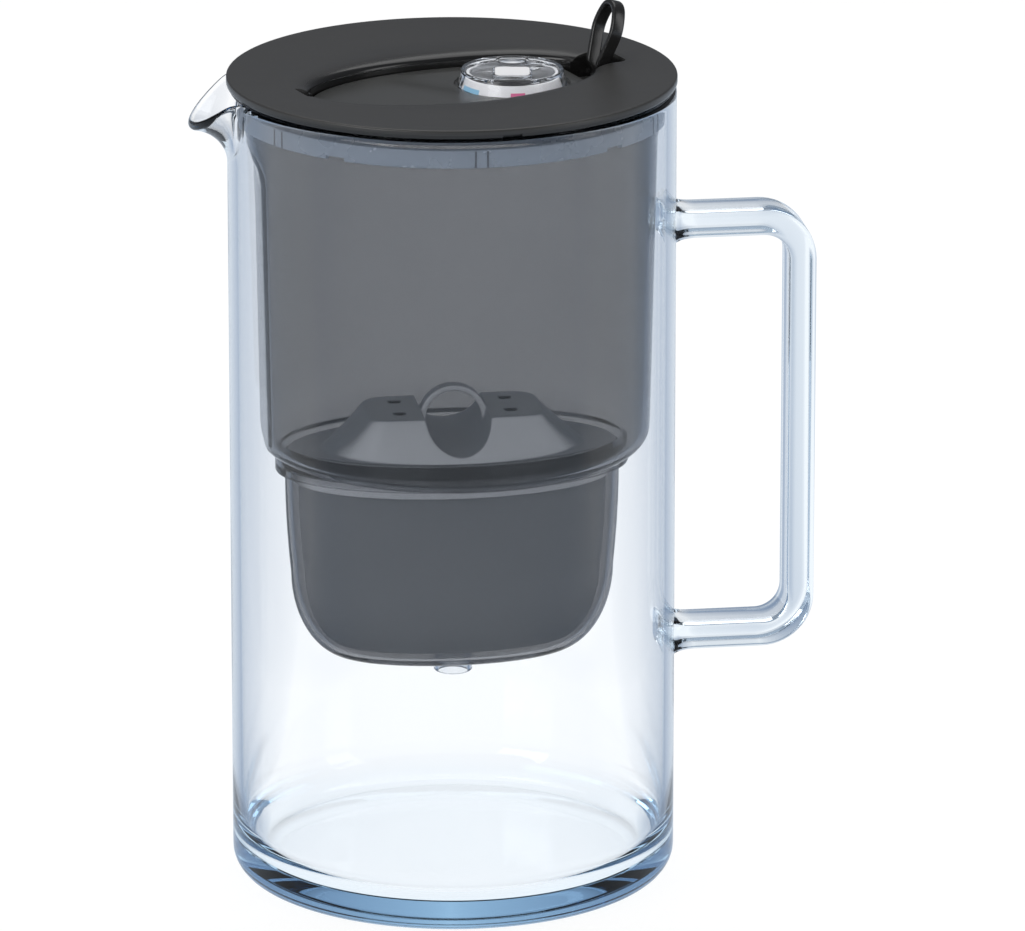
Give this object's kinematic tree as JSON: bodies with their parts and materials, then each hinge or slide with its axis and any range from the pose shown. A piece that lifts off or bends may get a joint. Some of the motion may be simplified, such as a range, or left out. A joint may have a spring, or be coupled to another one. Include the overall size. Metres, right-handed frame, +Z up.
{
  "type": "water filter pitcher",
  "caption": "Glass water filter pitcher with a strap handle, smoky hopper with an oval filter cartridge, and a round black lid with a flip flap, dial and pull loop.",
  "frame": {"origin": "middle of the jug's underside, on the surface it stands on", "axes": "+Z up, +X towards the handle, -X towards the spout, which points 6 degrees past it to +Y"},
  "size_m": [0.1956, 0.1384, 0.2771],
  "materials": {
    "clear_glass": "clear polished glass, pale blue at the base",
    "smoke_plastic": "smoky grey transparent plastic, polished",
    "clear_silicone": "translucent silicone",
    "clear_plastic": "clear plastic, polished",
    "cup_plastic": "dark grey translucent plastic",
    "grey_plastic": "satin grey plastic",
    "black_rubber": "black rubber",
    "mesh_plastic": "fine woven mesh",
    "carbon_grains": "loose carbon and resin grains",
    "lid_black": "black plastic, satin gloss",
    "pin_steel": "plain bright steel",
    "loop_rubber": "black rubber strap, smooth",
    "dial_clear": "clear plastic, polished",
    "hub_black": "black plastic",
    "scale_white": "white printed ring with coloured segments"
  },
  "bodies": {
    "jug": {"glass_jug": "clear_glass", "glass_handle": "clear_glass"},
    "hopper": {"hopper": "smoke_plastic", "hopper_collar": "clear_silicone", "drip_nozzle": "clear_plastic"},
    "cartridge": {"cartridge_cup": "cup_plastic", "cartridge_cap": "grey_plastic", "cartridge_seal": "black_rubber", "upper_screen": "mesh_plastic", "lower_screen": "mesh_plastic", "filter_media": "carbon_grains"},
    "lid": {"lid_shell": "lid_black", "flap_hinge_pin": "pin_steel"},
    "flap": {"flap_panel": "lid_black", "dial_hub": "hub_black", "dial_scale": "scale_white", "pull_loop": "loop_rubber", "loop_pin": "pin_steel"},
    "dial": {"dial_knob": "dial_clear", "dial_clip": "hub_black"}
  },
  "joints": [
    {"name": "hopper_lift", "type": "slide", "parent": "jug", "child": "hopper", "axis": [0, 0, 1], "range_m": [0, 0.19]},
    {"name": "cartridge_lift", "type": "slide", "parent": "hopper", "child": "cartridge", "axis": [0, 0, 1], "range_m": [0, 0.07]},
    {"name": "lid_lift", "type": "slide", "parent": "hopper", "child": "lid", "axis": [0, 0, 1], "range_m": [0, 0.06]},
    {"name": "flap_hinge", "type": "hinge", "parent": "lid", "child": "flap", "pos_m": [-0.04564, -0.01352, 0.2514], "axis": [0.284, -0.9588, 0], "range_deg": [0, 100]},
    {"name": "dial_turn", "type": "hinge", "parent": "flap", "child": "dial", "pos_m": [0.01956, 0.00579, 0.25], "axis": [0, 0, 1], "continuous": true}
  ]
}
